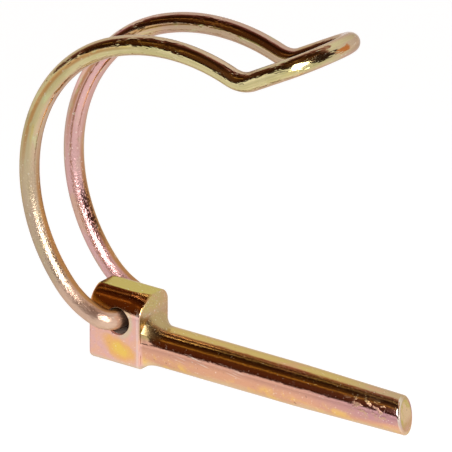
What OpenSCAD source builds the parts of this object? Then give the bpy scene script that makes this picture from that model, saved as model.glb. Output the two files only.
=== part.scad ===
/* [Shank] */
// Diameter of the shank
shank_d = 8; // [6:0.5:12]
// Length of the shank, from the head's front face to the middle of its end
shank_l = 59; // [50:1:80]
// Length over which the shank thins towards its end
lead_l = 20; // [10:1:30]
// Diameter of the shank where its end is cut
lead_d = 7.6; // [5.5:0.1:7.9]
// Angle of the sheared end, off square
end_tilt = 12; // [2:1:18]
// Width of the worn edge around the end
end_chamfer = 0.6; // [0.2:0.1:1]
// Radius of the fillet between shank and head
neck_fillet = 1.3; // [0.6:0.1:2]

/* [Head] */
// Length of the head along the shank
head_l = 12.2; // [10:0.1:18]
// Thickness of the head, across the hinge
head_t = 9; // [7:0.1:14]
// Height of the head's top above the shank's axis
head_top = 10; // [9:0.1:14]
// How far the head's underside lies below the shank
head_drop = 0.2; // [0.1:0.1:1]
// Radius of the long top edge on the -Y side
near_top_r = 3.4; // [1:0.1:4]
// Radius of the long top edge on the +Y side
far_top_r = 2.5; // [1:0.1:4]
// Radius of the long bottom edges
bottom_r = 1; // [0.4:0.1:2]
// Radius of the edges around the front face
front_r = 0.4; // [0.2:0.1:1.2]
// Radius of the edges around the back face
back_r = 1; // [0.2:0.1:2]

/* [Cross hole] */
// Distance of the hole's middle behind the head's front face
hole_back = 5.2; // [4.5:0.1:7]
// Height of the hole's middle above the shank's axis
hole_up = 4.6; // [3.5:0.1:5.5]
// Room around the wire in the hole
hole_play = 0.65; // [0.5:0.05:0.9]
// Width of the dished rim around the hole
rim_w = 0.7; // [0.2:0.1:1]
// Depth of the dished rim
rim_depth = 0.4; // [0.2:0.1:1]

/* [Bail wire] */
// Diameter of the wire
wire_d = 3.8; // [3:0.1:4.5]
// How far the wire sits behind the hole's middle
wire_back = 0.4; // [0:0.05:0.4]
// How far the wire sits above the hole's middle
wire_up = 0.2; // [0:0.05:0.2]
// Gap between each leg and the side of the head
leg_gap = 0.25; // [0.2:0.05:1]
// Gap between the two wire ends inside the hole
end_gap = 0.8; // [0.4:0.1:3]
// Inside radius of the bend that turns the wire into the hole
eye_inner_r = 0.6; // [0.5:0.1:2]
// Angle by which each leg spreads away from the middle
splay = 0.65; // [0.2:0.05:3]
// Direction along which the legs spread, up from the shank
spread_dir = 56; // [45:1:65]

/* [Bail bow] */
// Direction in which a leg leaves the hole, up from the shank
leg_start = 165; // [155:1:175]
// Radius of the heel, the first bend beside the head
heel_r = 16; // [12:0.5:22]
// Angle of the heel
heel_turn = 33; // [25:1:38]
// Radius of the bow's back
back_bow_r = 31.5; // [28:0.5:34]
// Angle of the bow's back
back_bow_turn = 112.5; // [105:0.5:118]
// Radius of the bow's top
top_bow_r = 40.5; // [36:0.5:50]
// Angle of the bow's top
top_bow_turn = 38; // [34:0.5:44]
// Radius of the kink before the end loop
kink_r = 6.5; // [4:0.5:10]
// Angle of the kink
kink_turn = 46.5; // [35:0.5:55]
// Straight length between the kink and the end loop
loop_run = 9; // [4:0.5:16]

/* [Hidden] */
$fn = 96;
pin_plating = [0.80, 0.69, 0.42];
wire_plating = [0.78, 0.68, 0.50];

shank_r = shank_d / 2;
lead_r = lead_d / 2;
lead_start = shank_l - lead_l;
// The blank runs on past its sheared end
blank_over = shank_d * tan(end_tilt);
end_flat_r = lead_r - end_chamfer;

head_half = head_t / 2;
head_bottom = -shank_r - head_drop;
// The plain shank starts at the origin, so the head's front face lies one fillet behind it
head_front = -neck_fillet;

wire_r = wire_d / 2;
hole_r = wire_r + hole_play;
eye_r = wire_r + eye_inner_r;
// Every second bend is a touch thinner and reaches into its neighbours, so that the wire is one piece
lap = 0.1;
lap_step = 0.005;

// The hinge is the middle line of the wire's ends, along Y
hinge = [head_front - hole_back - wire_back, 0, hole_up + wire_up];
leg_y = head_half + leg_gap + wire_r;

// Each leg is flat. In its own plane, u runs along the spread and headings are measured from u.
start_heading = leg_start - spread_dir;
leg_bends = [
    [heel_r, heel_turn],
    [back_bow_r, back_bow_turn],
    [top_bow_r, top_bow_turn],
    [kink_r, -kink_turn]
];

// Half the room between the legs at u
function half_gap(u) = leg_y + u * sin(splay);
// Angle between a heading in the leg's plane and the way out of the hole
function off_hinge(heading) = acos(cos(heading) * sin(splay));
// Direction of a heading as seen along the hinge
function seen(heading) = atan2(sin(heading), cos(heading) * cos(splay));

// The wire turns from the hinge line into the leg's plane
eye_turn = off_hinge(start_heading);
eye_reach = eye_r * (1 - cos(eye_turn));
leg_origin = [eye_reach * cos(seen(start_heading)) / cos(splay), eye_reach * sin(seen(start_heading))];
eye_y = half_gap(leg_origin[0]) - eye_r * sin(eye_turn);

// Where the wire stands, and its heading, after the first n bends; turns to the right are positive
function heading_after(n) = n == 0 ? start_heading : heading_after(n - 1) - leg_bends[n - 1][1];
function bend_shift(r, turn, h) = sign(turn) * r * [sin(h) - sin(h - turn), cos(h - turn) - cos(h)];
function place_after(n) =
    n == 0 ? leg_origin
    : place_after(n - 1) + bend_shift(leg_bends[n - 1][0], leg_bends[n - 1][1], heading_after(n - 1));

bend_count = len(leg_bends);
run_heading = heading_after(bend_count);
run_start = place_after(bend_count);
run_end = run_start + loop_run * [cos(run_heading), sin(run_heading)];

// The end loop turns from one leg round to the other
loop_turn = 180 - off_hinge(run_heading);
loop_half = half_gap(run_end[0]);
loop_r = loop_half / sin(loop_turn);

// A flat outline with its own radius at each square corner, from [x, y, radius] in order
module rounded_outline(corners) {
    count = len(corners);
    function spot(i) = [corners[i % count][0], corners[i % count][1]];
    function radius(i) = corners[i % count][2];
    function tangent(i, j) = spot(i) + radius(i) * (spot(j) - spot(i)) / norm(spot(j) - spot(i));
    polygon([for (i = [0 : count - 1]) each [tangent(i, i + count - 1), tangent(i, i + 1)]]);
    for (i = [0 : count - 1])
        translate(tangent(i, i + count - 1) + tangent(i, i + 1) - spot(i)) circle(radius(i));
}

// Outlines of the head: along the shank, from the side and from above
module head_section() {
    rounded_outline([
        [-head_half, head_bottom, bottom_r],
        [head_half, head_bottom, bottom_r],
        [head_half, head_top, far_top_r],
        [-head_half, head_top, near_top_r]
    ]);
}

module head_outline(low, high) {
    rounded_outline([[-head_l, low, back_r], [0, low, front_r], [0, high, front_r], [-head_l, high, back_r]]);
}

// A flat outline of Y and Z carried along the shank from one place to another
module along_shank(from, to) {
    translate([from, 0, 0]) rotate([90, 0, 90]) linear_extrude(to - from) children();
}

module head_block() {
    intersection() {
        along_shank(-head_l, 0) head_section();
        rotate([90, 0, 0]) linear_extrude(head_t, center = true) head_outline(head_bottom, head_top);
        translate([0, 0, head_bottom]) linear_extrude(head_top - head_bottom) head_outline(-head_half, head_half);
    }
}

// The fillet is trimmed to the head, which is hardly wider than the shank
module neck() {
    intersection() {
        along_shank(-front_r, neck_fillet) head_section();
        rotate([0, 90, 0]) rotate_extrude() difference() {
            translate([0, -front_r]) square([shank_r + neck_fillet, front_r + neck_fillet]);
            translate([shank_r + neck_fillet, neck_fillet]) circle(neck_fillet);
        }
    }
}

// The shank starts inside the head, and thins over its lead
module shank() {
    slope = (shank_r - lead_r) / lead_l;
    intersection() {
        rotate([0, 90, 0]) rotate_extrude() polygon([
            [0, -head_l / 2],
            [shank_r, -head_l / 2],
            [shank_r, lead_start],
            [lead_r - slope * blank_over, shank_l + blank_over],
            [0, shank_l + blank_over]
        ]);
        sheared_end();
    }
}

// All that lies behind the sheared end and its worn edge
module sheared_end() {
    reach = shank_l + head_l;
    translate([shank_l, 0, 0]) rotate([0, 0, end_tilt]) rotate([0, 90, 0]) rotate_extrude()
        polygon([[0, -reach], [end_flat_r + reach, -reach], [end_flat_r, 0], [0, 0]]);
}

// The hole runs across the head, with a dished rim at both sides
module cross_hole() {
    translate([-hole_back, 0, hole_up]) rotate([90, 0, 0]) rotate_extrude() {
        translate([0, -head_t]) square([hole_r, 2 * head_t]);
        for (side = [-1, 1])
            polygon([
                [0, side * (head_half - rim_depth)],
                [hole_r, side * (head_half - rim_depth)],
                [hole_r + rim_w, side * head_half],
                [hole_r + rim_w, side * head_t],
                [0, side * head_t]
            ]);
    }
}

// Drawn from the head's front face, then set back
module pin() {
    color(pin_plating) translate([head_front, 0, 0]) difference() {
        union() {
            head_block();
            neck();
            shank();
        }
        cross_hole();
    }
}

// A stretch of wire bent about Z, between two angles
module bent_wire(r, from, to, section_r = wire_r) {
    rotate([0, 0, from]) rotate_extrude(angle = to - from) translate([r, 0]) circle(section_r);
}

// The same, reaching into the stretches before and after it
module lapped_bend(r, from, to) {
    lap_turn = lap / r * 180 / PI;
    bent_wire(r, from - lap_turn, to + lap_turn, wire_r - lap_step);
}

// One bend of a leg, in the leg's plane
module leg_bend(i) {
    r = leg_bends[i][0];
    turn = leg_bends[i][1];
    h = heading_after(i);
    side = sign(turn);
    from = side * 90 + h - max(turn, 0);
    to = side * 90 + h - min(turn, 0);
    translate(place_after(i)) translate(side * r * [sin(h), -cos(h)])
        if (i % 2 == 0) bent_wire(r, from, to);
        else lapped_bend(r, from, to);
}

module leg() {
    for (i = [0 : bend_count - 1]) leg_bend(i);
    translate(run_start) rotate([0, 0, run_heading]) rotate([0, 90, 0]) cylinder(loop_run, wire_r, wire_r);
}

// The end of the wire in the hole, and the tight bend that turns it into the leg
module eye() {
    translate([0, -end_gap / 2, 0]) rotate([90, 0, 0]) cylinder(eye_y - end_gap / 2, wire_r, wire_r);
    rotate([0, -seen(start_heading), 0]) translate([eye_r, -eye_y, 0]) lapped_bend(eye_r, 180, 180 + eye_turn);
}

module half_bail() {
    eye();
    translate([0, -leg_y, 0]) rotate([0, 0, -splay]) rotate([90, 0, 0]) leg();
}

module end_loop() {
    foot = [run_end[0] * cos(splay), 0, run_end[1]];
    translate(foot) rotate([0, -seen(run_heading), 0])
        translate([-loop_r * cos(loop_turn), 0, 0]) lapped_bend(loop_r, -loop_turn, loop_turn);
}

module bail() {
    color(wire_plating) translate(hinge) rotate([0, -spread_dir, 0]) {
        half_bail();
        mirror([0, 1, 0]) half_bail();
        end_loop();
    }
}

pin();
bail();
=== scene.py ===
import math
import bmesh
import bpy
from mathutils import Matrix, Vector


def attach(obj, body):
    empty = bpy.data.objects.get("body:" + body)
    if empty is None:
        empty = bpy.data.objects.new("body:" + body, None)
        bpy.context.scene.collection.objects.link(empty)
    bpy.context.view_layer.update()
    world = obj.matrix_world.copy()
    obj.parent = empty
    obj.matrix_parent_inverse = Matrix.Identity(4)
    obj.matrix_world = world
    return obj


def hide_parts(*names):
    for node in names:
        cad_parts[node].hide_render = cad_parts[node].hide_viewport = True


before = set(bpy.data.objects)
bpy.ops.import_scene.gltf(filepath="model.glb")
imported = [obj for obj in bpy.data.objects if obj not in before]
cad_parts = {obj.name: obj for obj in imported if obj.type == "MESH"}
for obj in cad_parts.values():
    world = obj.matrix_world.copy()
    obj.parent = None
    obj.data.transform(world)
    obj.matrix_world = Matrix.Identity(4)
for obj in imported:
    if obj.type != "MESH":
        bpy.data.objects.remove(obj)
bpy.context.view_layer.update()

mm = 0.001
perMetre = 1000  # millimetres
touching = 1e-7  # metres; points nearer to each other than this are one
scene = bpy.context.scene
print("frame loaded, solids:", sorted(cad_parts))


class Shade:  # one socket; sums of these add Math nodes, and add() makes any other node
    def __init__(self, tree, socket=None):
        self.tree = tree
        self.socket = socket

    def add(self, kind, settings=None, inputs=None, out=0):
        node = self.tree.nodes.new("ShaderNode" + kind)
        for name, value in (settings or {}).items():
            if name == "stops":
                setStops(node.color_ramp, value)
            else:
                setattr(node, name, value)
        for name, value in (inputs or {}).items():
            if isinstance(value, Shade):
                self.tree.links.new(value.socket, node.inputs[name])
            else:
                node.inputs[name].default_value = value
        return Shade(self.tree, node.outputs[out] if len(node.outputs) else None)

    def sum(self, operation, first, second):
        return self.add("Math", {"operation": operation}, {0: first, 1: second})

    def __add__(self, other):
        return self.sum("ADD", self, other)

    def __radd__(self, other):
        return self.sum("ADD", other, self)

    def __sub__(self, other):
        return self.sum("SUBTRACT", self, other)

    def __rsub__(self, other):
        return self.sum("SUBTRACT", other, self)

    def __mul__(self, other):
        return self.sum("MULTIPLY", self, other)

    def __rmul__(self, other):
        return self.sum("MULTIPLY", other, self)

    def __pow__(self, other):
        return self.sum("POWER", self, other)

    def most(self, other):
        return self.sum("MAXIMUM", self, other)

    def least(self, other):
        return self.sum("MINIMUM", self, other)

    def axis(self, name):  # one coordinate, in millimetres
        return self.add("SeparateXYZ", None, {0: self}, name) * perMetre

    def fade(self, low, high):  # 0 below low, 1 above high
        return self.add("MapRange", {"interpolation_type": "SMOOTHSTEP"},
                        {"Value": self, "From Min": low, "From Max": high})

    def band(self, low, high, soft):  # 1 between low and high
        return self.fade(low - soft, low + soft) * (1 - self.fade(high - soft, high + soft))

    def tint(self, low, high):  # self is how much of high covers low; 6, 7 and 2 are the colour sockets
        return self.add("Mix", {"data_type": "RGBA"}, {0: self, 6: low, 7: high}, 2)

    def rotated(self, axis, degrees):
        return self.add("VectorRotate", {"rotation_type": axis + "_AXIS"},
                        {"Vector": self, "Angle": math.radians(degrees)})

    def noise(self, size, stretch=(1, 1, 1), detail=3, shift=0):  # size of a blotch, in millimetres
        spread = tuple(perMetre / size / s for s in stretch)
        spot = self.add("VectorMath", {"operation": "MULTIPLY_ADD"},
                        {0: self, 1: spread, 2: (shift, shift, shift)})
        return self.add("TexNoise", None, {"Vector": spot, "Scale": 1, "Detail": detail})


def setStops(ramp, stops):
    while len(ramp.elements) < len(stops):
        ramp.elements.new(1)
    for element, (place, colour) in zip(ramp.elements, stops):
        element.position = place
        element.color = colour


def rgb(red, green, blue):
    return (red, green, blue, 1)


def newMaterial(name):
    material = bpy.data.materials.new(name)
    material.use_nodes = True
    tree = material.node_tree
    tree.nodes.clear()
    return material, Shade(tree)


edgeTint = rgb(0.74, 0.66, 0.6)  # the plating pales at a glancing angle


def plateOutput(start, colour, roughness, height, depth, metallic=1):
    bump = start.add("Bump", None, {"Height": height, "Strength": 1, "Distance": depth * mm})
    plate = start.add("BsdfPrincipled", None, {
        "Base Color": colour, "Metallic": metallic, "Roughness": roughness,
        "Specular Tint": edgeTint, "Normal": bump})
    start.add("OutputMaterial", None, {"Surface": plate})


def newPiece(name, mesh, material, body, node):
    piece = bpy.data.objects.new(name, mesh)
    scene.collection.objects.link(piece)
    mesh.materials.append(material)
    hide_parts(node)
    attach(piece, body)
    return piece


# camera, far away on a long lens, as flat as the photograph looks
camera = {
    "around": 37, "above": 22.16,  # degrees
    "lens": 1500, "sensor": 36, "frameWidth": 84.09, "side": 12.357, "lift": 22.04,  # millimetres
    "clipStart": 0.1, "clipEnd": 20,  # metres
}
around = math.radians(camera["around"])
above = math.radians(camera["above"])
viewBack = Vector((math.sin(around) * math.cos(above), -math.cos(around) * math.cos(above), math.sin(above)))
viewSide = Vector((math.cos(around), math.sin(around), 0))
viewUp = Vector((-math.sin(around) * math.sin(above), math.cos(around) * math.sin(above), math.cos(above)))
lensData = bpy.data.cameras.new("camera")
lensData.lens = camera["lens"]
lensData.sensor_width = camera["sensor"]
lensData.clip_start = camera["clipStart"]
lensData.clip_end = camera["clipEnd"]
lensObject = bpy.data.objects.new("camera", lensData)
scene.collection.objects.link(lensObject)
target = (viewSide * camera["side"] + viewUp * camera["lift"]) * mm
lensObject.location = target + viewBack * camera["frameWidth"] * mm * camera["lens"] / camera["sensor"]
lensObject.rotation_euler = (-viewBack).to_track_quat("-Z", "Y").to_euler()
scene.camera = lensObject
scene.view_settings.view_transform = "Standard"
print("camera set")


# forged pin: one bar lofted from the back of the head to the tip, in millimetres and degrees
pin = {
    "shankR": 4, "shankStart": 4, "plainEnd": 33,
    "tipX": 57, "tipR": 3.6, "tipAside": 0.34, "tipUp": 0.2, "tipRound": 0.5, "tipGap": 2.2,
    "headBack": -13.5, "headFront": -1.3, "headHalf": 4.5, "headTop": 10, "headBottom": -4.2,
    "nearTopR": 5, "nearTopLift": 0.375, "nearTopWide": 6.9, "wideFrom": -5,  # wider towards the front
    "farTopR": 2.5, "bottomR": 1, "backR": 1.1, "leastR": 0.05,
    "frontR": 0.4, "frontTopR": 0.35, "frontGap": 0.02, "crispAt": 80, "crispHalf": 25, "softFrom": 70,
    "neckRise": 2.2, "neckDrop": 1.1, "dropFrom": 80, "dropTo": 140, "neckLeast": 0.36, "neckShare": 0.95,
    "neckMean": 3.2, "neckSway": 1.6, "swayAt": 150, "neckCurl": 2.2,
    "holeX": -6.5, "holeZ": 4.6, "holeR": 2.55, "rimWidth": 0.4, "rimDepth": 0.35, "drillOver": 1,
    "segments": 240, "holeSegments": 96, "tipSegments": 6, "edgeAngle": 40,
    "roundSteps": 8, "headSteps": 15, "neckSteps": 16, "shankSteps": 23, "leadSteps": 20,  # rings
    "reachMost": 14, "halvings": 24,  # for finding the head's outline
}


def ease(value, low, high):  # smoothly from 0 at low to 1 at high
    part = min(max((value - low) / (high - low), 0), 1)
    return part * part * (3 - 2 * part)


def insideHead(y, z, inset, corners):  # is this point within the head's section, drawn in by inset
    half = pin["headHalf"] - inset
    top = pin["headTop"] - inset
    bottom = pin["headBottom"] + inset
    if abs(y) > half or z > top or z < bottom:
        return False
    for side, up, wide, tall, lift in corners:
        wide = max(wide - inset, pin["leastR"])
        tall = max(tall - inset, pin["leastR"])
        overY = side * y - half + wide
        overZ = z - top - lift + tall if up else bottom + tall - z
        if overY > 0 and overZ > 0 and (overY / wide) ** 2 + (overZ / tall) ** 2 > 1:
            return False
    return True


def headReach(angle, inset, x):  # how far the head's rounded section reaches from the shank's axis
    widen = ease(x, pin["wideFrom"], pin["headFront"])
    nearWide = pin["nearTopR"] + (pin["nearTopWide"] - pin["nearTopR"]) * widen
    corners = [(-1, True, nearWide, pin["nearTopR"], pin["nearTopLift"]),
               (1, True, pin["farTopR"], pin["farTopR"], 0),
               (-1, False, pin["bottomR"], pin["bottomR"], 0),
               (1, False, pin["bottomR"], pin["bottomR"], 0)]
    low = 0.0
    high = pin["reachMost"]
    for halving in range(pin["halvings"]):
        middle = (low + high) / 2
        if insideHead(math.cos(angle) * middle, math.sin(angle) * middle, inset, corners):
            low = middle
        else:
            high = middle
    return low


def neckLength(angle):  # the fillet is drawn out on the near upper side
    return pin["neckMean"] + pin["neckSway"] * math.cos(angle - math.radians(pin["swayAt"]))


def neckLimit(angle):  # and climbs the face less there than at the top
    return pin["neckRise"] - pin["neckDrop"] * ease(math.degrees(angle), pin["dropFrom"], pin["dropTo"])


def frontRadius(angle):  # the front edge is a little crisper along the top than down the sides
    off = abs((math.degrees(angle) - pin["crispAt"] + 180) % 360 - 180)
    soften = ease(off, pin["crispHalf"], pin["softFrom"])
    return pin["frontTopR"] + (pin["frontR"] - pin["frontTopR"]) * soften


def quarterTurn():  # the angles of the rings on a rounded edge
    return [math.pi / 2 * k / pin["roundSteps"] for k in range(pin["roundSteps"] + 1)]


def pinRings():  # each ring gives every angle's distance along the bar and from its axis
    angles = [2 * math.pi * k / pin["segments"] for k in range(pin["segments"])]
    start = pin["headBack"] + pin["backR"]
    stops = [pin["headFront"] - frontRadius(a) for a in angles]
    rings = []
    for turn in quarterTurn():
        x = start - pin["backR"] * math.cos(turn)
        rings.append([(x, headReach(a, pin["backR"] * (1 - math.sin(turn)), x)) for a in angles])
    for k in range(1, pin["headSteps"]):
        spots = [start + (stop - start) * k / pin["headSteps"] for stop in stops]
        rings.append([(x, headReach(a, 0, x)) for a, x in zip(angles, spots)])
    for turn in quarterTurn():
        ring = []
        for a, stop in zip(angles, stops):
            soft = frontRadius(a)
            x = stop + soft * math.sin(turn)
            full = headReach(a, 0, x)
            least = min(full - pin["frontGap"], pin["shankR"] + pin["neckLeast"])
            ring.append((x, max(headReach(a, soft * (1 - math.cos(turn)), x), least)))
        rings.append(ring)
    rise = [min(neckLimit(a), pin["neckShare"] * (r - pin["shankR"])) for a, (x, r) in zip(angles, rings[-1])]
    for k in range(pin["neckSteps"] + 1):
        part = k / pin["neckSteps"]
        left = (1 - part) ** pin["neckCurl"]
        rings.append([(pin["headFront"] + neckLength(a) * part, pin["shankR"] + up * left)
                      for a, up in zip(angles, rise)])
    for k in range(pin["shankSteps"] + 1):
        x = pin["shankStart"] + (pin["plainEnd"] - pin["shankStart"]) * k / pin["shankSteps"]
        rings.append([(x, pin["shankR"])] * len(angles))
    slope = (pin["tipR"] - pin["shankR"]) / (pin["tipX"] - pin["plainEnd"])
    lead = pin["tipX"] - pin["tipGap"] - pin["plainEnd"]  # no ring near the slanted end: its edge is rounded
    spots = [pin["plainEnd"] + lead * k / pin["leadSteps"] for k in range(1, pin["leadSteps"] + 1)]
    for x in spots + [pin["tipX"] + pin["tipGap"]]:
        rings.append([(x, pin["shankR"] + slope * (x - pin["plainEnd"]))] * len(angles))
    return rings, angles


def loftPin():  # extrudes ring after ring, then cuts the end on a slant and rounds its edge
    bm = bmesh.new()
    rings, angles = pinRings()
    bmesh.ops.create_circle(bm, segments=len(angles), radius=1, cap_ends=False)
    ring = sorted(bm.verts, key=lambda v: math.atan2(v.co.y, v.co.x) % (2 * math.pi))
    loop = list(bm.edges)
    order = {v: i for i, v in enumerate(ring)}
    for number, sizes in enumerate(rings):
        if number:
            made = bmesh.ops.extrude_edge_only(bm, edges=loop)["geom"]
            fresh = [g for g in made if isinstance(g, bmesh.types.BMVert)]
            loop = [g for g in made if isinstance(g, bmesh.types.BMEdge)
                    and g.verts[0] in fresh and g.verts[1] in fresh]
            before = order
            order = {}
            for v in fresh:
                parent = next(e.other_vert(v) for e in v.link_edges if e.other_vert(v) in before)
                order[v] = before[parent]
        for v, i in order.items():
            x, r = sizes[i]
            v.co = Vector((x, r * math.cos(angles[i]), r * math.sin(angles[i]))) * mm
    bmesh.ops.holes_fill(bm, edges=bm.edges, sides=0)
    slant = Vector((1, pin["tipAside"], pin["tipUp"])).normalized()
    cut = bmesh.ops.bisect_plane(bm, geom=bm.verts[:] + bm.edges[:] + bm.faces[:], dist=touching,
                                 plane_co=Vector((pin["tipX"] * mm, 0, 0)), plane_no=slant,
                                 clear_outer=True)["geom_cut"]
    rim = [g for g in cut if isinstance(g, bmesh.types.BMEdge)]
    bmesh.ops.holes_fill(bm, edges=rim, sides=0)
    bmesh.ops.bevel(bm, geom=rim, offset=pin["tipRound"] * mm, offset_type="OFFSET", affect="EDGES",
                    segments=pin["tipSegments"], profile=0.5, material=-1)
    bmesh.ops.recalc_face_normals(bm, faces=bm.faces)
    return bm


def holeCutter():  # bore with a rounded mouth at each side of the head
    bm = bmesh.new()
    half = pin["headHalf"]
    over = half + pin["drillOver"]
    side = [(0, over), (pin["holeR"] + pin["rimWidth"], over)]
    for turn in quarterTurn():
        r = pin["holeR"] + pin["rimWidth"] * (1 - math.sin(turn))
        side.append((r, half - pin["rimDepth"] * (1 - math.cos(turn))))
    profile = [(r, -y) for r, y in side] + [(r, y) for r, y in reversed(side)]
    chain = [bm.verts.new(Vector((pin["holeX"] + r, y, pin["holeZ"])) * mm) for r, y in profile]
    edges = [bm.edges.new(pair) for pair in zip(chain, chain[1:])]
    bmesh.ops.spin(bm, geom=chain + edges, cent=Vector((pin["holeX"], 0, pin["holeZ"])) * mm, axis=(0, 1, 0),
                   angle=2 * math.pi, steps=pin["holeSegments"], use_merge=True)
    bmesh.ops.remove_doubles(bm, verts=bm.verts, dist=touching)
    bmesh.ops.recalc_face_normals(bm, faces=bm.faces)
    return bm


def cutMesh(solid, cutter):  # the pin with its cross hole drilled
    blankMesh = bpy.data.meshes.new("pinBlank")
    solid.to_mesh(blankMesh)
    drillMesh = bpy.data.meshes.new("pinDrill")
    cutter.to_mesh(drillMesh)
    blank = bpy.data.objects.new("pinBlank", blankMesh)
    drill = bpy.data.objects.new("pinDrill", drillMesh)
    scene.collection.objects.link(blank)
    scene.collection.objects.link(drill)
    cut = blank.modifiers.new("crossHole", "BOOLEAN")
    cut.operation = "DIFFERENCE"
    cut.solver = "EXACT"
    cut.object = drill
    bpy.context.view_layer.update()
    result = bpy.data.meshes.new_from_object(blank.evaluated_get(bpy.context.evaluated_depsgraph_get()))
    bpy.data.objects.remove(blank)
    bpy.data.objects.remove(drill)
    return result


pin["plate"] = {
    "olive": rgb(0.56, 0.46, 0.13), "gold": rgb(0.6, 0.44, 0.15), "rose": rgb(0.59, 0.31, 0.22),
    "peach": rgb(0.65, 0.34, 0.21), "straw": rgb(0.72, 0.53, 0.31), "mauve": rgb(0.46, 0.24, 0.27),
    "amber": rgb(0.78, 0.43, 0.16), "yellow": rgb(0.8, 0.53, 0.12), "cream": rgb(0.62, 0.52, 0.34),
    "tan": rgb(0.5, 0.36, 0.22), "brown": rgb(0.36, 0.24, 0.1), "boreShade": rgb(0.24, 0.22, 0.17),
    "pale": rgb(0.9, 0.86, 0.76), "dark": rgb(0.1, 0.05, 0.025),
    "blush": rgb(0.72, 0.42, 0.38), "pink": rgb(0.76, 0.43, 0.3), "rust": rgb(0.62, 0.3, 0.1),
    "rim": rgb(0.74, 0.69, 0.58), "bronze": rgb(0.42, 0.31, 0.15),
    "roughness": 0.14, "satin": 0.1, "bump": 0.014,
}


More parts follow.
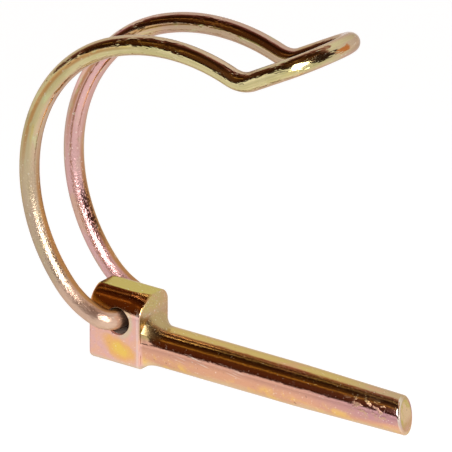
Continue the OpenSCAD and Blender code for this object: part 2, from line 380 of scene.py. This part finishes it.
def pinMaterial():
    material, start = newMaterial("yellowPlatePin")
    look = pin["plate"]
    place = start.add("TexCoord", None, None, "Object")
    x = place.axis("X")
    y = place.axis("Y")
    z = place.axis("Z")
    cloud = place.noise(5, detail=4)
    blotch = place.noise(2.2, detail=4, shift=7)
    drift = place.noise(3, stretch=(4, 1, 1), detail=4, shift=3)
    fine = place.noise(0.3, detail=3, shift=13)
    drawn = place.noise(0.3, stretch=(40, 1, 1), detail=4)
    mottle = blotch * 0.5 + cloud * 0.5
    # shank: gold along the top, rose on the sides and mauve near the tip, peach and straw underneath
    onTop = z.fade(1.8, 2.8)
    level = z + (drift - 0.5) * 3.4
    shank = level.fade(-3.4, -1.4).tint(look["straw"], look["peach"])
    shank = level.fade(-1, 0.9).tint(shank, look["rose"])
    lateral = x.fade(30, 54) * level.band(-1.2, 1.6, 0.8)
    shank = (lateral * 0.8).tint(shank, look["mauve"])
    shank = onTop.tint(shank, look["gold"])
    shank = (x.fade(40, 54) * onTop * 0.8).tint(shank, look["tan"])
    shank = (drift.fade(0.55, 0.68) * onTop * 0.6).tint(shank, look["peach"])
    warm = (blotch * 0.6 + drift * 0.4).fade(0.46, 0.66) * (1 - z.fade(-1.6, 0.6))
    shank = (warm * 0.6).tint(shank, look["yellow"])
    # end face: olive and straw, rose below, with a painted highlight on the rounded rim on the near side
    beyond = x - pin["tipX"] + y * pin["tipAside"] + z * pin["tipUp"]
    fromAxis = (y ** 2 + z ** 2) ** 0.5
    tip = mottle.fade(0.44, 0.56).tint(look["olive"], look["straw"])
    tip = ((1 - z.fade(-2.2, 0)) * 0.7).tint(tip, look["rose"])
    shank = (beyond.fade(-0.3, -0.1) * (1 - fromAxis.fade(2.7, 3))).tint(shank, tip)
    # painted highlight: pale on the near side of the end's rounded rim
    tipRimHighlight = beyond.fade(-0.52, -0.38) * fromAxis.fade(2.8, 3.05) * (1 - y.fade(-1.6, 0.6))
    shank = (tipRimHighlight * (0.15 + z.fade(-3, 0.5) * 0.5)).tint(shank, look["rim"])
    # head: olive top, blush and pink sides with one amber cloud, cream beside the hole, a painted highlight
    # behind the front edge, a mottled front face with painted shade and a painted reflection of the shank on
    # its lower part, and painted shade in the bore
    head = mottle.fade(0.42, 0.58).tint(look["blush"], look["pink"])
    along = (x + 6) * 0.925 - (z + 0.9) * 0.38
    across = (x + 6) * 0.38 + (z + 0.9) * 0.925
    spread = ((along * 0.235) ** 2 + (across * 0.43) ** 2) ** 0.5 + (blotch - 0.5) * 0.9
    head = (1 - spread.fade(0.6, 1.15)).tint(head, look["amber"])
    head = (1 - spread.fade(0.2, 0.7)).tint(head, look["yellow"])
    away = ((x - pin["holeX"]) ** 2 + (z - pin["holeZ"]) ** 2) ** 0.5
    halo = away.band(2.4, 3.5, 0.5) * x.fade(-7, -4.6)
    head = (halo * 0.8).tint(head, look["cream"])
    head = ((1 - z.fade(-3.9, -3)) * 0.7).tint(head, look["cream"])
    head = z.fade(6.8, 8.6).tint(head, look["olive"])
    head = (z.fade(6.2, 7.4) * (1 - y.fade(-2, -1.4))).tint(head, look["rust"])
    # painted highlight: a pale band just behind the front edge, below the top
    frontEdgeHighlight = x.fade(-2.2, -1.9) * (1 - x.fade(-1.75, -1.5)) * (1 - z.fade(5, 7))
    head = (frontEdgeHighlight * 0.25).tint(head, look["pale"])
    # painted shade and painted reflection of the shank: the front face is brown on its lower part, next to
    # the shank
    face = z.fade(4.6, 6.6).tint(look["brown"], look["tan"])
    face = (z.fade(6, 7.5) * (0.2 + blotch)).tint(face, look["olive"])
    face = (y.fade(0.5, 4) * (0.2 + blotch * 0.9)).tint(face, look["rose"])
    face = (place.noise(0.9, detail=3, shift=19).fade(0.46, 0.62) * 0.6).tint(face, look["peach"])
    onFace = x.fade(-1.5, -1.34) * z.fade(1, 3.4)
    head = onFace.tint(head, face)
    colour = x.fade(-1.32, -0.6).tint(head, shank)
    neck = x.band(-1.32, 2.6, 0.7) * z.fade(1.2, 3.2)
    colour = (neck * 0.85).tint(colour, look["bronze"])
    # painted shade: the bore is painted dark and barely metallic, for the shade inside the hole
    inBore = (1 - away.fade(2.5, 2.66)) * (1 - x.fade(-2.2, -2))
    colour = inBore.tint(colour, look["boreShade"])
    # small marks: a worn corner, pale flecks, dark pits, pale scratches, scuffs before the tip
    nearTop = x.band(-4.6, -1.7, 0.7) * z.band(5.4, 7.6, 0.7) * (1 - y.fade(-3.9, -3))
    rubbed = nearTop * place.noise(0.8, stretch=(1.6, 1, 1), detail=3, shift=37).fade(0.48, 0.58)
    colour = (rubbed * 0.7).tint(colour, look["pale"])
    flecks = place.noise(0.5, detail=2, shift=31).fade(0.69, 0.75)
    flecks = flecks.most(onFace * (1 - x.fade(-1.2, -0.8)) * fine.fade(0.64, 0.7))
    colour = (flecks * 0.55).tint(colour, look["pale"])
    pits = place.noise(0.6, detail=2, shift=57).fade(0.71, 0.75)
    colour = (pits * 0.5).tint(colour, look["dark"])
    hairs = place.rotated("Z", 24).noise(0.2, stretch=(22, 1, 1), detail=1, shift=91)
    drags = place.rotated("Y", -8).noise(0.26, stretch=(24, 9, 1), detail=2, shift=29)
    dragged = x.band(8, 21, 3) * z.band(-0.4, 1.6, 0.5) * (1 - y.fade(-2, 0))
    scratch = hairs.fade(0.71, 0.75) + drags.fade(0.58, 0.64) * dragged
    colour = (scratch * 0.5).tint(colour, look["pale"])
    worn = x.fade(40, 52) * (1 - x.fade(54.5, 56)) * z.band(-0.5, 2.6, 0.8)
    scuffs = place.noise(0.75, stretch=(2, 1, 1), detail=4, shift=43).fade(0.5, 0.62) * worn
    dulled = flecks * 0.15 + inBore * 0.3 + scuffs * 0.24 + neck * look["satin"] + rubbed * 0.2
    roughness = look["roughness"] + (fine - 0.5) * 0.1 + dulled
    colour = (scuffs * 0.4).tint(colour, look["gold"])
    dents = place.noise(1.2, stretch=(2, 1, 1), detail=2, shift=67).fade(0.5, 0.75)
    height = drawn * 0.5 + fine * 0.45 + cloud * 0.8 - scratch * 0.5
    height = height + dents * 0.7 + scuffs * (1.2 + fine * 3)
    plateOutput(start, colour, roughness, height, look["bump"], 1 - inBore * 0.8)
    return material


pinMesh = cutMesh(loftPin(), holeCutter())
pinMesh.name = "pin_forged"
pinMesh.polygons.foreach_set("use_smooth", [True] * len(pinMesh.polygons))
pinMesh.set_sharp_from_angle(angle=math.radians(pin["edgeAngle"]))
pinPiece = newPiece("pin_forged", pinMesh, pinMaterial(), "pin", "pin")
pinNormals = pinPiece.modifiers.new("facesFirst", "WEIGHTED_NORMAL")
pinNormals.keep_sharp = True
print("pin made:", len(pinMesh.polygons), "faces")


# bail: a straight bar of wire, bent along the same bends as its solid, in millimetres and degrees
bail = {
    "wireR": 1.9, "segments": 40, "ringStep": 0.4, "edgeAngle": 50,
    "endGap": 0.8, "endRound": 0.25, "endSegments": 4, "endSlack": 0.0001,
    "hinge": (-6.9, 0, 4.8), "spread": 56, "legY": 6.65, "splay": 0.65, "eyeInnerR": 0.6, "legStart": 165,
    "bends": [(16, 33), (31.5, 112.5), (40.5, 38), (6.5, -46.5)],  # radius and turn
    "loopRun": 9,
}


def bailSteps():  # the bending schedule: length, turn and axis of each feed or bend, before the swing to rest
    splay = math.radians(bail["splay"])
    first = math.radians(bail["legStart"] - bail["spread"])
    run = first - math.radians(sum(turn for r, turn in bail["bends"]))

    def offHinge(heading):
        return math.acos(math.cos(heading) * math.sin(splay))

    def seen(heading):
        return math.atan2(math.sin(heading), math.cos(heading) * math.cos(splay))

    eyeR = bail["wireR"] + bail["eyeInnerR"]
    eyeTurn = offHinge(first)
    eyeReach = eyeR * (1 - math.cos(eyeTurn))
    legU = eyeReach * math.cos(seen(first)) / math.cos(splay)
    eyeFeed = bail["legY"] + legU * math.sin(splay) - eyeR * math.sin(eyeTurn) - bail["endGap"] / 2
    nearSide = Vector((-math.sin(splay), -math.cos(splay), 0))
    farSide = Vector((math.sin(splay), -math.cos(splay), 0))
    eyeAxis = Vector((-math.sin(seen(first)), 0, math.cos(seen(first))))
    loopAxis = Vector((-math.sin(seen(run)), 0, math.cos(seen(run))))
    runU = legU
    heading = first
    for r, turn in bail["bends"]:
        after = heading - math.radians(turn)
        runU += math.copysign(r, turn) * (math.sin(heading) - math.sin(after))
        heading = after
    runU += bail["loopRun"] * math.cos(heading)
    loopTurn = math.pi - offHinge(run)
    loopR = (bail["legY"] + runU * math.sin(splay)) / math.sin(loopTurn)
    steps = [(eyeFeed, 0, eyeAxis), (eyeR * eyeTurn, eyeTurn, eyeAxis)]
    for r, turn in bail["bends"]:
        steps.append((r * math.radians(abs(turn)), -math.radians(turn), nearSide))
    steps.append((bail["loopRun"], 0, nearSide))
    steps.append((loopR * 2 * loopTurn, 2 * loopTurn, loopAxis))
    steps.append((bail["loopRun"], 0, farSide))
    for r, turn in reversed(bail["bends"]):
        steps.append((r * math.radians(abs(turn)), math.radians(turn), farSide))
    steps += [(eyeR * eyeTurn, eyeTurn, eyeAxis), (eyeFeed, 0, eyeAxis)]
    return steps, eyeAxis


def bailPlaces(steps, eyeAxis):  # for a distance along the bar, where its section stands after bending
    spots = []
    spot = Vector((0, -bail["endGap"] / 2, 0))
    ahead = Vector((0, -1, 0))
    stand = Matrix((eyeAxis, ahead.cross(eyeAxis), ahead)).transposed()
    done = 0.0
    for length, turn, axis in steps:
        spots.append((done, length, turn, axis, spot.copy(), stand.copy()))
        spot, stand = stepAlong(spot, stand, length, length, turn, axis)
        done += length

    def place(distance):
        step = next((s for s in reversed(spots) if distance >= s[0]), spots[0])
        begin, length, turn, axis, spot, stand = step
        return stepAlong(spot, stand, distance - begin, length, turn, axis)

    return place, done, spot


def stepAlong(spot, stand, part, length, turn, axis):  # part of the way along one feed or bend
    ahead = stand.col[2]
    if turn == 0:
        return spot + ahead * part, stand
    radius = length / abs(turn)
    inward = axis.cross(ahead) * (1 if turn > 0 else -1)
    rotation = Matrix.Rotation(turn * part / length, 3, axis)
    centre = spot + inward * radius
    return centre + rotation @ (spot - centre), rotation @ stand


def bendBail():  # spins out a straight bar, rounds its ends, then bends it
    steps, eyeAxis = bailSteps()
    place, total, end = bailPlaces(steps, eyeAxis)
    print("wire is", round(total, 2), "mm long, and ends at", [round(v, 3) for v in end])
    bm = bmesh.new()
    straight = bm.verts.layers.float_vector.new("barPlace")
    rings = round(total / bail["ringStep"])
    bmesh.ops.create_circle(bm, segments=bail["segments"], radius=bail["wireR"], cap_ends=False)
    bmesh.ops.spin(bm, geom=bm.verts[:] + bm.edges[:], angle=0, steps=rings, axis=(0, 0, 1), cent=(0, 0, 0),
                   dvec=(0, 0, total / rings))
    bmesh.ops.holes_fill(bm, edges=bm.edges, sides=0)
    first = bail["endSlack"]
    last = total - bail["endSlack"]
    ends = [e for e in bm.edges
            if all(v.co.z < first for v in e.verts) or all(v.co.z > last for v in e.verts)]
    bmesh.ops.bevel(bm, geom=ends, offset=bail["endRound"], offset_type="OFFSET", affect="EDGES",
                    segments=bail["endSegments"], profile=0.5, material=-1)
    swing = Matrix.Rotation(-math.radians(bail["spread"]), 3, "Y")
    for v in bm.verts:
        v[straight] = v.co * mm
        spot, stand = place(v.co.z)
        v.co = (swing @ (spot + stand @ Vector((v.co.x, v.co.y, 0))) + Vector(bail["hinge"])) * mm
    bmesh.ops.recalc_face_normals(bm, faces=bm.faces)
    mesh = bpy.data.meshes.new("bail_wire")
    bm.to_mesh(mesh)
    return mesh, total


bail["plate"] = {
    "straw": rgb(0.61, 0.53, 0.28), "olive": rgb(0.48, 0.42, 0.19), "beige": rgb(0.45, 0.37, 0.2),
    "tan": rgb(0.46, 0.33, 0.26), "mauve": rgb(0.64, 0.37, 0.37), "rose": rgb(0.6, 0.36, 0.31),
    "gold": rgb(0.56, 0.42, 0.1), "mint": rgb(0.48, 0.54, 0.28), "brown": rgb(0.42, 0.19, 0.05),
    "pale": rgb(0.85, 0.8, 0.68), "dark": rgb(0.14, 0.08, 0.035),
    "heel": rgb(0.68, 0.45, 0.34), "shadeOxblood": rgb(0.035, 0.009, 0.004), "umber": rgb(0.4, 0.31, 0.17),
    "roughness": 0.15, "satin": 0.09, "bump": 0.014,
}


def bailMaterial(total):
    material, start = newMaterial("yellowPlateWire")
    look = bail["plate"]
    place = start.add("Attribute", {"attribute_name": "barPlace"}, None, "Vector")
    outward = place.axis("X")
    inward = 0 - outward
    sideways = place.axis("Y")
    along = place.axis("Z")
    farLeg = along.fade(total * 0.5 - 6, total * 0.5 + 6)
    fromEnd = along.least(total - along)
    lower = 1 - fromEnd.fade(30, 54)
    cloud = place.noise(4, stretch=(1, 1, 3), detail=4)
    blotch = place.noise(1.5, stretch=(1, 1, 3), detail=4, shift=5)
    streak = place.noise(0.35, stretch=(1, 1, 24), detail=4, shift=11)
    fine = place.noise(0.28, detail=3, shift=17)
    mixing = cloud * 0.65 + streak * 0.35
    # near leg: straw and olive, beige at the shoulder, tan below, a warmer heel where it enters the hole
    colour = mixing.fade(0.4, 0.6).tint(look["olive"], look["straw"])
    shoulder = fromEnd.band(42, 66, 8)
    colour = (shoulder * (0.3 + cloud * 0.9)).tint(colour, look["beige"])
    colour = (lower * (0.35 + blotch * 0.8)).tint(colour, look["tan"])
    eye = 1 - fromEnd.fade(14, 20)
    colour = (eye * 0.7).tint(colour, look["heel"])
    # far leg: mauve, with straw lines running along it, and umber over the bow
    band = mixing + outward * 0.05
    colour = (farLeg * (1 - band.fade(0.52, 0.62) * 0.75) * 0.9).tint(colour, look["mauve"])
    over = farLeg * fromEnd.fade(70, 84)
    colour = (over * 0.75).tint(colour, look["umber"])
    # both: rosy edges, brown along the outer side of the shoulder and the inner side of the lower legs
    edge = inward.fade(0.9, 1.8) * (1 - lower) * 0.8 + outward.fade(1.3, 1.9) * 0.6
    colour = (edge * (0.5 + cloud * 0.5)).tint(colour, look["rose"])
    colour = (outward.band(-0.2, 0.6, 0.25) * fromEnd.band(44, 80, 8) * 0.75).tint(colour, look["brown"])
    shown = sideways * (1 - farLeg * 2)
    under = lower * inward.fade(0.3, 0.9)
    colour = (under * (1 - shown.fade(0.1, 0.8)) * 0.9).tint(colour, look["brown"])
    colour = (under * (1 - shown.fade(-1.1, -0.6)) * 0.8).tint(colour, look["gold"])
    colour = (blotch.fade(0.58, 0.72) * (1 - lower) * 0.55).tint(colour, look["mint"])
    patch = place.noise(2.4, stretch=(1, 1, 5), shift=23).fade(0.58, 0.7)
    colour = (patch * (1 - farLeg * 0.5) * 0.5).tint(colour, look["gold"])
    flecks = place.noise(0.4, stretch=(1, 1, 2), detail=2, shift=31).fade(0.67, 0.73)
    colour = (flecks * 0.5).tint(colour, look["pale"])
    pits = place.noise(0.55, detail=2, shift=57).fade(0.71, 0.75)
    colour = (pits * 0.45).tint(colour, look["dark"])
    grain = place.noise(0.28, stretch=(1, 1, 1.6), detail=2, shift=71)
    # painted shade: a near-black patch on the lower far leg, a painted dark reflection where no highlight
    # shows
    darkReflectionPatch = farLeg * lower * fromEnd.band(22, 33, 4) * shown.band(-0.4, 1.5, 0.4) * inward.fade(0.2, 0.7)
    colour = (darkReflectionPatch * grain.fade(0.36, 0.52) * 0.95).tint(colour, look["shadeOxblood"])
    roughness = look["roughness"] + (fine - 0.5) * 0.08 + flecks * 0.12 + lower * look["satin"] + eye * 0.14
    marks = place.noise(0.8, stretch=(1, 1, 3.5), detail=2, shift=83).fade(0.46, 0.7)
    rolled = place.noise(6, stretch=(1, 1, 2), detail=2, shift=97).fade(0.42, 0.56)
    height = streak * 0.7 + fine * 0.4 + blotch * 0.6 + grain * lower * 7 + marks * rolled * (1 - lower) * 4
    plateOutput(start, colour, roughness, height, look["bump"])
    return material


bailMesh, wireLength = bendBail()
bailMesh.polygons.foreach_set("use_smooth", [True] * len(bailMesh.polygons))
bailMesh.set_sharp_from_angle(angle=math.radians(bail["edgeAngle"]))
newPiece("bail_wire", bailMesh, bailMaterial(wireLength), "bail", "bail")
print("bail made:", len(bailMesh.polygons), "faces")


# studio: floor, low white wall, cards, world and lamps, in millimetres and watts
studio = {
    "floorHalf": 500, "floorZ": -31.5,  # below the bail's lowest point in its swing
    "floorWhite": 0.4, "floorGlow": 0.76, "floorShown": 0.8,
    "wallR": 370, "wallTop": 42, "wallSegments": 96, "wallGlow": 1,
    "dimSide": (-0.41, -0.709, 0.574),  # middle of the dim part of the room, to the left of the camera
    "dimFront": (0.242, -0.664, 0.707),  # and above the camera
    "frontGain": 3, "frontLess": 1.86,
    "dimSteps": [(0.36, rgb(1, 1, 1)), (0.45, rgb(0.52, 0.24, 0.23)), (0.56, rgb(0.15, 0.042, 0.025)),
                 (0.69, rgb(0.08, 0.024, 0.009)), (0.79, rgb(0.032, 0.008, 0.003)),
                 (0.88, rgb(0.035, 0.009, 0.003)), (0.97, rgb(0.12, 0.04, 0.01))],
    "strip": {  # warm strip of light in the dim part
        "across": (-0.045, 0.784, 0.619), "middle": (-0.685, -0.475, 0.5525),
        "half": 0.04, "soft": 0.006, "reach": 0.955, "reachSoft": 0.01, "colour": rgb(0.55, 0.28, 0.08),
    },
    "lamps": {
        "front": {"towards": (0.417, -0.824, 0.389), "away": 108, "size": 64, "watts": 0.12},
        "right": {"towards": (0.97, 0.16, 0.16), "away": 500, "size": 80, "watts": 0.12},
    },
    "cards": {  # small cards that the loop mirrors
        "darkCard": {"at": (111, -26, 86), "facing": (40, 0, 62), "half": 44,
                     "colour": rgb(0.03, 0.008, 0.004)},
        "warmCard": {"at": (100, 32, 76), "facing": (44, 0, 66), "half": 26,
                     "colour": rgb(0.85, 0.36, 0.14)},
    },
}


def grey(level):
    return rgb(level, level, level)


def glowMaterial(name, white, mirrored, shown):  # matt, with a glow for the camera and for mirrors only
    material, start = newMaterial(name)
    glossy = start.add("LightPath", None, None, "Is Glossy Ray")
    through = start.add("LightPath", None, None, "Is Transmission Ray")
    seen = start.add("LightPath", None, None, "Is Camera Ray")
    colour = glossy.most(through).tint(grey(0), grey(mirrored))
    colour = seen.tint(colour, grey(shown))
    matt = start.add("BsdfDiffuse", None, {"Color": grey(white)})
    glow = start.add("Emission", None, {"Color": colour, "Strength": 1})
    both = start.add("AddShader", None, {0: matt, 1: glow})
    start.add("OutputMaterial", None, {"Surface": both})
    return material


def stagePiece(name, bm, material):
    mesh = bpy.data.meshes.new(name)
    bm.to_mesh(mesh)
    mesh.materials.append(material)
    piece = bpy.data.objects.new(name, mesh)
    scene.collection.objects.link(piece)
    return piece


def mirroredOnly(piece):  # seen by the metal, not by the camera
    piece.visible_camera = False
    piece.visible_shadow = False
    piece.visible_diffuse = False


def makeFloor():
    bm = bmesh.new()
    bmesh.ops.create_grid(bm, x_segments=1, y_segments=1, size=studio["floorHalf"] * mm)
    bmesh.ops.translate(bm, verts=bm.verts, vec=(0, 0, studio["floorZ"] * mm))
    paleFloor = glowMaterial("paleFloor", studio["floorWhite"], studio["floorGlow"], studio["floorShown"])
    stagePiece("floor", bm, paleFloor)


def makeWall():  # low ring of white card, standing on the floor
    bm = bmesh.new()
    bmesh.ops.create_circle(bm, segments=studio["wallSegments"], radius=studio["wallR"] * mm, cap_ends=False)
    bmesh.ops.translate(bm, verts=bm.verts, vec=(0, 0, studio["floorZ"] * mm))
    made = bmesh.ops.extrude_edge_only(bm, edges=bm.edges)["geom"]
    top = [g for g in made if isinstance(g, bmesh.types.BMVert)]
    bmesh.ops.translate(bm, verts=top, vec=(0, 0, (studio["wallTop"] - studio["floorZ"]) * mm))
    whiteCard = glowMaterial("whiteCard", studio["floorWhite"], studio["wallGlow"], studio["wallGlow"])
    mirroredOnly(stagePiece("wall", bm, whiteCard))


def makeCard(name):
    sizes = studio["cards"][name]
    middle = Vector(sizes["at"])
    turn = (Vector(sizes["facing"]) - middle).to_track_quat("Z", "Y").to_matrix()
    bm = bmesh.new()
    bmesh.ops.create_grid(bm, x_segments=1, y_segments=1, size=sizes["half"] * mm)
    bmesh.ops.rotate(bm, verts=bm.verts, cent=(0, 0, 0), matrix=turn)
    bmesh.ops.translate(bm, verts=bm.verts, vec=middle * mm)
    material, start = newMaterial(name)
    glow = start.add("Emission", None, {"Color": sizes["colour"], "Strength": 1})
    start.add("OutputMaterial", None, {"Surface": glow})
    mirroredOnly(stagePiece(name, bm, material))


def makeWorld():  # white room, dim and warm to the left of the camera and above it
    world = bpy.data.worlds.new("studio")
    world.use_nodes = True
    world.node_tree.nodes.clear()
    start = Shade(world.node_tree)
    way = start.add("TexCoord", None, None, "Generated")

    def lean(side):
        return start.add("VectorMath", {"operation": "DOT_PRODUCT"}, {0: way, 1: side}, "Value")

    overhead = lean(studio["dimFront"]) * studio["frontGain"] - studio["frontLess"]
    dim = lean(studio["dimSide"]).most(overhead)
    view = start.add("ValToRGB", {"stops": studio["dimSteps"]}, {"Fac": dim})
    strip = studio["strip"]
    lit = lean(strip["across"]).band(-strip["half"], strip["half"], strip["soft"])
    lit = lit * lean(strip["middle"]).fade(strip["reach"] - strip["reachSoft"], strip["reach"])
    view = lit.tint(view, strip["colour"])
    seen = start.add("LightPath", None, None, "Is Camera Ray")
    view = seen.tint(view, grey(1))
    back = start.add("Background", None, {"Color": view, "Strength": 1})
    start.add("OutputWorld", None, {"Surface": back})
    scene.world = world


def makeLamp(name):
    sizes = studio["lamps"][name]
    data = bpy.data.lights.new(name, "AREA")
    data.shape = "DISK"
    data.size = sizes["size"] * mm
    data.energy = sizes["watts"]
    lamp = bpy.data.objects.new(name, data)
    towards = Vector(sizes["towards"]).normalized()
    lamp.location = target + towards * sizes["away"] * mm
    lamp.rotation_euler = (-towards).to_track_quat("-Z", "Y").to_euler()
    lamp.visible_camera = False
    scene.collection.objects.link(lamp)


makeFloor()
makeWall()
for cardName in studio["cards"]:
    makeCard(cardName)
makeWorld()
for lampName in studio["lamps"]:
    makeLamp(lampName)
print("studio set")
